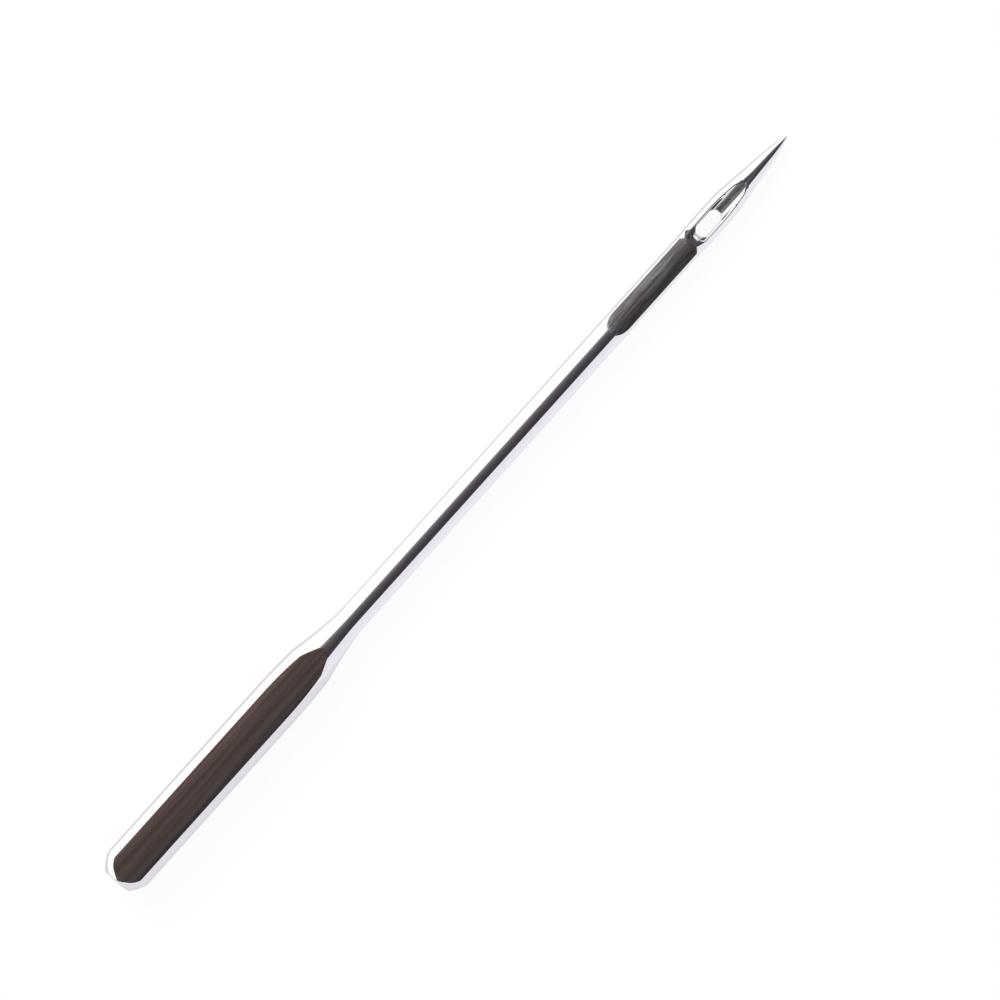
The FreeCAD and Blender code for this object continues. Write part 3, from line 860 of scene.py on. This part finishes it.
def rising(tree, value, where, heights=(0.0, 1.0), ease="LINEAR"):
    """A value that goes from one height to the other between two places."""
    return node(tree, "ShaderNodeMapRange", {"interpolation_type": ease}, Value=value, From_Min=where[0],
                From_Max=where[1], To_Min=heights[0], To_Max=heights[1]).outputs[0]


def smooth_step(tree, value, low, high):
    """A value's share of the way from low to high, eased at both ends."""
    return rising(tree, value, (low, high), ease="SMOOTHSTEP")


def mixed_colour(tree, share, first, second, blend="MIX"):
    """One colour at share 0 and another at share 1. A colour is a hex code or an output."""
    first, second = (linear(value) if isinstance(value, str) else value for value in (first, second))
    return node(tree, "ShaderNodeMix", {"data_type": "RGBA", "blend_type": blend}, _0=share, _6=first,
                _7=second).outputs[2]


def colour_ramp(tree, share, stops):
    """Colours by share, from (share, hex code) pairs."""
    ramp = node(tree, "ShaderNodeValToRGB", _0=share)
    elements = ramp.color_ramp.elements
    while len(elements) > 1:
        elements.remove(elements[0])
    for number, (position, code) in enumerate(stops):
        element = elements[0] if number == 0 else elements.new(1.0)
        element.position = position
        element.color = linear(code)
    return ramp.outputs[0]


# Most of a noise's values lie between these
NOISE_RANGE = (0.38, 0.62)


def noise(tree, place, spacing, detail):
    """Soft noise whose grains are about as wide as spacing."""
    return node(tree, "ShaderNodeTexNoise", Vector=place, Scale=1 / spacing, Detail=detail).outputs[0]


def metal(tree, tint, roughness, **more):
    """The shader of all the metal, linked to the material's output."""
    shader = node(tree, "ShaderNodeBsdfPrincipled", Base_Color=tint, Metallic=1.0,
                  Roughness=roughness, **more)
    node(tree, "ShaderNodeOutputMaterial", Surface=shader.outputs[0])


def along_needle(tree, lean, stretch):
    """Object coordinates turned back by the needle's lean and squeezed along its axis, so that a
    pattern on them runs lengthwise."""
    place = node(tree, "ShaderNodeTexCoord").outputs["Object"]
    return mapped(tree, mapped(tree, place, turn=(0.0, -lean, 0.0)), stretch=stretch)


def painted_shade_across(tree, place, tints_and_painted_shade):
    """Painted shade and painted light across the needle over its tint, from (y, hex code) pairs."""
    first, last = tints_and_painted_shade[0][0], tints_and_painted_shade[-1][0]
    share = rising(tree, parts_of(tree, place)[1], (first, last))
    return colour_ramp(tree, share, [((y - first) / (last - first), code) for y, code in tints_and_painted_shade])


# Between these values of the noise a streak's colour gives way to the tint
STREAK_RANGE = (0.4, 0.56)


def lined_steel(name, tints_and_painted_shade, lean, grain, rough, depth, band=None, streak=None):
    """Plated steel with lengthwise lines: noise whose grains are as wide as grain's first number
    and its second times as long moves the roughness and, as bump, the surface. Its tint is one
    colour, or changes across the needle with painted shade and painted light, and is darkened by
    the streak's colour along some lines. A band adds roughness from one place across to another."""
    material, tree = new_material(name)
    spacing, stretch = grain
    place = along_needle(tree, lean, stretch)
    # Across the needle the tint carries painted shade and painted light
    tint = linear(tints_and_painted_shade) if isinstance(tints_and_painted_shade, str) else painted_shade_across(tree, place, tints_and_painted_shade)
    lines = noise(tree, place, spacing, detail=3.0)
    if streak:
        shade = colour_ramp(tree, lines, [(STREAK_RANGE[0], streak), (STREAK_RANGE[1], "#FFFFFF")])
        tint = mixed_colour(tree, 1.0, tint, shade, "MULTIPLY")
    roughness = rising(tree, lines, NOISE_RANGE, rough)
    if band:
        more = rising(tree, parts_of(tree, place)[1], band[:2], (0.0, band[2]))
        roughness = result(tree, "ADD", roughness, more)
    bump = node(tree, "ShaderNodeBump", Height=lines, Distance=depth, Strength=1.0)
    metal(tree, tint, roughness, Normal=bump.outputs[0])
    return material


def polished_plated_steel(code, lean):
    """Plating over polished steel: mirror bright with sharp reflections, and faint lengthwise
    polishing lines that only show where the reflection changes."""
    return lined_steel("polished_plated_steel", code, lean, grain=(0.09 * MM, 60.0),
                       rough=(0.033, 0.057), depth=0.00004 * MM)


def ground_flat_steel(finish, lean):
    """Plating over a coarsely ground flat: a brown tint, with painted shade along one edge and painted
    light along the other, and long lines that blur the reflection. They are drawn far coarser than the real
    grit, to show."""
    # Painted shade at the rim and dark side, painted light at the light side and edge
    tints_and_painted_shade = [
        (-0.58 * MM, finish.ground_rim_painted_shade),
        (-0.48 * MM, finish.ground_painted_shade),
        (0.0, finish.ground),
        (0.3 * MM, finish.ground_painted_light_side),
        (0.6 * MM, finish.ground_edge),
    ]
    return lined_steel("ground_flat_steel", tints_and_painted_shade, lean, grain=(0.16 * MM, 50.0),
                       rough=(0.2, 0.28), depth=0.0003 * MM, streak="#F2EFEE")


def ground_scarf_steel(finish, lean):
    """Plating over the scarf's grinding: streaks, a grey tint with painted shade along one edge and
    painted light towards the other, and a rougher band along that other edge, which scatters more of the
    window."""
    # Painted shade on the dark side, painted light on the light side and edge
    tints_and_painted_shade = [
        (-0.36 * MM, finish.scarf_painted_shade),
        (-0.1 * MM, finish.scarf),
        (-0.04 * MM, finish.scarf_painted_light),
        (0.26 * MM, finish.scarf_painted_light),
        (0.38 * MM, finish.scarf_edge_painted_light),
    ]
    return lined_steel("ground_scarf_steel", tints_and_painted_shade, lean, grain=(0.09 * MM, 14.0),
                       rough=(0.14, 0.28), depth=0.0008 * MM,
                       band=(0.07 * MM, 0.2 * MM, 0.18), streak="#E0DCDC")


# How far the dark patch's streaks are turned from the needle's axis, and how stretched they are
STREAK_TURN = math.radians(-40)
STREAK_STRETCH = 5.0


def dark_patch_steel(finish, lean):
    """A dark patch beside the ramp, with lighter streaks that run aslant."""
    material, tree = new_material("dark_patch_steel")
    place = mapped(tree, along_needle(tree, lean, 1.0), (0.0, 0.0, STREAK_TURN), STREAK_STRETCH)
    streaks = noise(tree, place, spacing=0.07 * MM, detail=2.0)
    tint = colour_ramp(tree, streaks, list(zip(NOISE_RANGE, (finish.patch_dark, finish.patch_light))))
    metal(tree, tint, roughness=0.35)
    return material


# The rough floor's soft edge, as shares of its half width, how far its end by the eye fades, and
# the height over which it fades out under the needle's back
ROUGH_EDGE = (1.05, 0.95)
ROUGH_END = 0.02 * MM
ROUGH_RISE = 0.2 * MM


def groove_floor_share(tree, place, needle):
    """One on the short groove's rough floor and nothing elsewhere. The floor lies a little to one
    side of the middle and narrows towards the point."""
    c = needle.cut
    sine, cosine = math.sin(needle.lean), math.cos(needle.lean)
    start = needle.eye_end - needle.rest_middle * cosine - needle.rest_height * sine
    level = needle.rest_height * cosine - needle.rest_middle * sine
    along, across, up = parts_of(tree, place)
    ends = (start, start + c.short_groove_level)
    half = rising(tree, along, ends, (c.rough_half, c.rough_end_half))
    apart = result(tree, "ABSOLUTE", result(tree, "SUBTRACT", across, c.rough_aside))
    share = smooth_step(tree, result(tree, "DIVIDE", apart, half), *ROUGH_EDGE)
    past = smooth_step(tree, along, start, start + ROUGH_END)
    over = smooth_step(tree, up, level, level + ROUGH_RISE)
    return result(tree, "MULTIPLY", result(tree, "MULTIPLY", share, past), over)


def pressed_plated_steel(finish, needle):
    """Plating inside the eye and the grooves, which the polish reaches less: a little softer
    reflection. The short groove's floor is rougher, a soft, even grey."""
    material, tree = new_material("pressed_plated_steel")
    floor = groove_floor_share(tree, along_needle(tree, needle.lean, 1.0), needle)
    lines = noise(tree, along_needle(tree, needle.lean, 6.0), spacing=0.12 * MM, detail=3.0)
    bright = rising(tree, lines, NOISE_RANGE, (0.05, 0.09))
    rough = rising(tree, lines, NOISE_RANGE, (0.32, 0.48))
    mix = node(tree, "ShaderNodeMix", {"data_type": "FLOAT"}, _0=floor, _2=bright, _3=rough)
    metal(tree, mixed_colour(tree, floor, finish.pressed, finish.groove_floor), mix.outputs[0])
    return material


class NEEDLE_OT_needle(bpy.types.Operator):
    """Make the needle: turned, ground and pressed surface with its finishes"""

    bl_idname = "needle.needle"
    bl_label = "Needle"

    def execute(self, context):
        scene = context.scene
        needle = Needle(scene.needle_turned, scene.needle_cut)
        points, quads, fans = needle_mesh(needle)
        finish = scene.needle_finish
        materials = [
            polished_plated_steel(finish.polished, needle.lean),
            ground_flat_steel(finish, needle.lean),
            ground_scarf_steel(finish, needle.lean),
            pressed_plated_steel(finish, needle),
            dark_patch_steel(finish, needle.lean),
        ]
        kinds = np.concatenate([face_kinds(needle, points, quads), np.zeros(len(fans))])
        piece = build_mesh("plated_needle", leaned(needle, points), quads, fans, materials, kinds)
        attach(piece, "root")
        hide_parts("needle")
        return {"FINISHED"}


# The room that the metal reflects, by direction across the needle, in degrees from straight up
# towards +y: a pale wall, a dark ceiling over the camera, a bright window
ROOM = [
    (-180.0, "#E2E1E7"),
    (-49.2, "#E6E5EB"),
    (-46.2, "#38353B"),
    (-19.2, "#3E3A3F"),
    (7.8, "#565254"),
    (27.8, "#827E7E"),
    (31.8, "#FFFFFF"),
    (180.0, "#FFFFFF"),
]
# Towards the point, the pale end wall takes over between these slopes from straight up
END_WALL = (math.radians(66), math.radians(71))
END_WALL_COLOUR = "#F0EFF3"
# Light that the metal sees, against the plain light that matt surfaces see
METAL_LIGHT = 1.12
MATT_LIGHT = 0.75
MATT_COLOUR = "#F4F4F8"
# Shares of plain brightness in what the camera and the metal see of the floor
CAMERA_SHARE = 0.93
METAL_SHARE = 0.85
# The floor's painted shade side turns to its painted light side, and the painted shadow by the shank gives
# way to the shade side along the shank
FLOOR_BLEND = 0.3 * MM
SHANK_TO_BLADE = (-8.0 * MM, -5.5 * MM)
# How far the shade under the needle reaches on its bright side, at the shank and at the blade,
# and the shares of that reach between which it fades
CONTACT_REACH = (2.3 * MM, 1.6 * MM)
CONTACT_FADE = (0.88, 1.12)
# Where the soft lamp is, in metres, and the camera's clipping distances
LAMP_PLACE = (0.1, 0.62, 0.62)
CLIP = (0.01, 10.0)


def floor_card(stage):
    """A pale matt card. The camera sees nearly all of it as plain white, which leaves a faint
    shadow. The metal sees most of it as painted colours: painted light on the side by the window,
    painted shade on the other side, a painted shadow by the shank and a painted contact shadow
    close under the needle; the rest as it is lit."""
    material, tree = new_material("pale_matt_card")
    along, across, _ = parts_of(tree, node(tree, "ShaderNodeTexCoord").outputs["Object"])
    # Painted light on the window side, painted shade on the other, with a painted shadow by the shank
    aside = smooth_step(tree, across, -FLOOR_BLEND, FLOOR_BLEND)
    pale = mixed_colour(tree, smooth_step(tree, along, *SHANK_TO_BLADE), stage.floor_painted_shank_shadow, stage.floor_painted_shade)
    # A painted contact shadow close under the needle on its lit side
    reach = rising(tree, along, SHANK_TO_BLADE, CONTACT_REACH)
    clear = smooth_step(tree, result(tree, "DIVIDE", across, reach), *CONTACT_FADE)
    bright = mixed_colour(tree, clear, stage.floor_painted_contact_shadow, stage.floor_painted_light)
    card = node(tree, "ShaderNodeBsdfDiffuse", Color=linear(stage.floor_colour))
    white = node(tree, "ShaderNodeEmission", Color=(1.0, 1.0, 1.0, 1.0), Strength=1.0)
    sides = mixed_colour(tree, aside, pale, bright)
    seen = node(tree, "ShaderNodeEmission", Color=sides, Strength=METAL_LIGHT)
    path = node(tree, "ShaderNodeLightPath")
    to_camera = result(tree, "MULTIPLY", path.outputs["Is Camera Ray"], CAMERA_SHARE)
    to_metal = result(tree, "MULTIPLY", path.outputs["Is Glossy Ray"], METAL_SHARE)
    first = node(tree, "ShaderNodeMixShader", _0=to_camera, _1=card.outputs[0], _2=white.outputs[0])
    last = node(tree, "ShaderNodeMixShader", _0=to_metal, _1=first.outputs[0], _2=seen.outputs[0])
    node(tree, "ShaderNodeOutputMaterial", Surface=last.outputs[0])
    mesh = bpy.data.meshes.new("floor")
    half = stage.floor_side / 2
    corners = [(-half, -half, 0), (half, -half, 0), (half, half, 0), (-half, half, 0)]
    mesh.from_pydata(corners, [], [(0, 1, 2, 3)])
    mesh.materials.append(material)
    floor = bpy.data.objects.new("floor", mesh)
    bpy.context.scene.collection.objects.link(floor)


def soft_room():
    """The world: a pale room with a dark ceiling for the metal to reflect, plain white light for
    matt surfaces, and white to the camera."""
    world = bpy.data.worlds.new("soft_room")
    bpy.context.scene.world = world
    world.use_nodes = True
    tree = world.node_tree
    tree.nodes.clear()
    way = node(tree, "ShaderNodeTexCoord").outputs["Generated"]
    along, aside, up = parts_of(tree, way)
    share = rising(tree, result(tree, "ARCTAN2", aside, up), (-math.pi, math.pi))
    across = colour_ramp(tree, share, [((degrees + 180) / 360, code) for degrees, code in ROOM])
    past = smooth_step(tree, along, math.sin(END_WALL[0]), math.sin(END_WALL[1]))
    room = mixed_colour(tree, past, across, END_WALL_COLOUR)
    path = node(tree, "ShaderNodeLightPath")
    reflected = node(tree, "ShaderNodeBackground", Color=room, Strength=METAL_LIGHT)
    lit = node(tree, "ShaderNodeBackground", Color=linear(MATT_COLOUR), Strength=MATT_LIGHT)
    white = node(tree, "ShaderNodeBackground", Color=(1.0, 1.0, 1.0, 1.0), Strength=1.0)
    first = node(tree, "ShaderNodeMixShader", _0=path.outputs["Is Glossy Ray"], _1=lit.outputs[0],
                 _2=reflected.outputs[0])
    second = node(tree, "ShaderNodeMixShader", _0=path.outputs["Is Camera Ray"], _1=first.outputs[0],
                  _2=white.outputs[0])
    node(tree, "ShaderNodeOutputWorld", Surface=second.outputs[0])


def soft_lamp(stage):
    """One broad soft lamp on the bright side, for the floor and its faint shadow. The metal
    sees the room's window there instead of the lamp."""
    light = bpy.data.lights.new("soft_lamp", "AREA")
    light.shape = "SQUARE"
    light.size = stage.lamp_size
    light.energy = stage.lamp_energy
    lamp = bpy.data.objects.new("soft_lamp", light)
    lamp.location = LAMP_PLACE
    lamp.visible_glossy = False
    lamp.rotation_euler = Vector(LAMP_PLACE).to_track_quat("Z", "Y").to_euler()
    bpy.context.scene.collection.objects.link(lamp)


def camera(needle, stage):
    """A long lens square to the needle's axis, rolled about it, with the needle rising across
    the picture from lower left to upper right."""
    side = Vector((0, math.cos(stage.view_roll), -math.sin(stage.view_roll)))
    back = Vector((0, math.sin(stage.view_roll), math.cos(stage.view_roll)))
    along = Vector((1, 0, 0))
    right = along * math.cos(stage.view_turn) - side * math.sin(stage.view_turn)
    up = along * math.sin(stage.view_turn) + side * math.cos(stage.view_turn)
    distance = stage.view_width * stage.lens / stage.sensor
    eye = along * stage.view_middle + side * stage.view_aside + back * distance
    turn = Matrix((right, up, back)).transposed().to_4x4()
    lean = Matrix.Rotation(needle.lean, 4, "Y")
    rest = Matrix.Translation((-needle.rest_middle, 0, needle.rest_height))
    data = bpy.data.cameras.new("camera")
    data.lens = stage.lens
    data.sensor_width = stage.sensor
    data.clip_start, data.clip_end = CLIP
    made = bpy.data.objects.new("camera", data)
    made.matrix_world = rest @ lean @ Matrix.Translation(eye) @ turn
    bpy.context.scene.collection.objects.link(made)
    bpy.context.scene.camera = made


class NEEDLE_OT_stage(bpy.types.Operator):
    """Make the floor, the light and the camera"""

    bl_idname = "needle.stage"
    bl_label = "Floor, light and camera"

    def execute(self, context):
        scene = context.scene
        needle = Needle(scene.needle_turned, scene.needle_cut)
        stage = scene.needle_stage
        floor_card(stage)
        soft_room()
        soft_lamp(stage)
        camera(needle, stage)
        scene.view_settings.view_transform = "Standard"
        return {"FINISHED"}


class NEEDLE_PT_panel(bpy.types.Panel):
    """Sizes, colours and steps of the needle"""

    bl_idname = "NEEDLE_PT_panel"
    bl_label = "Sewing machine needle"
    bl_space_type = "VIEW_3D"
    bl_region_type = "UI"
    bl_category = "Needle"

    def draw(self, context):
        for step in STEPS:
            self.layout.operator(step.bl_idname)
        for name in GROUPS:
            group = getattr(context.scene, name)
            for value in group.bl_rna.properties.keys():
                if value not in ("rna_type", "name"):
                    self.layout.prop(group, value)


GROUPS = {
    "needle_turned": TurnedSizes,
    "needle_cut": CutSizes,
    "needle_finish": Finishes,
    "needle_stage": StageSizes,
}
STEPS = (NEEDLE_OT_needle, NEEDLE_OT_stage)


def register():
    for kind in (*GROUPS.values(), *STEPS, NEEDLE_PT_panel):
        bpy.utils.register_class(kind)
    for name, kind in GROUPS.items():
        setattr(bpy.types.Scene, name, PointerProperty(type=kind))


def unregister():
    for name in GROUPS:
        delattr(bpy.types.Scene, name)
    for kind in (NEEDLE_PT_panel, *reversed(STEPS), *reversed(GROUPS.values())):
        bpy.utils.unregister_class(kind)


def main():
    register()
    bpy.ops.needle.needle()
    bpy.ops.needle.stage()


if __name__ == "__main__":
    main()
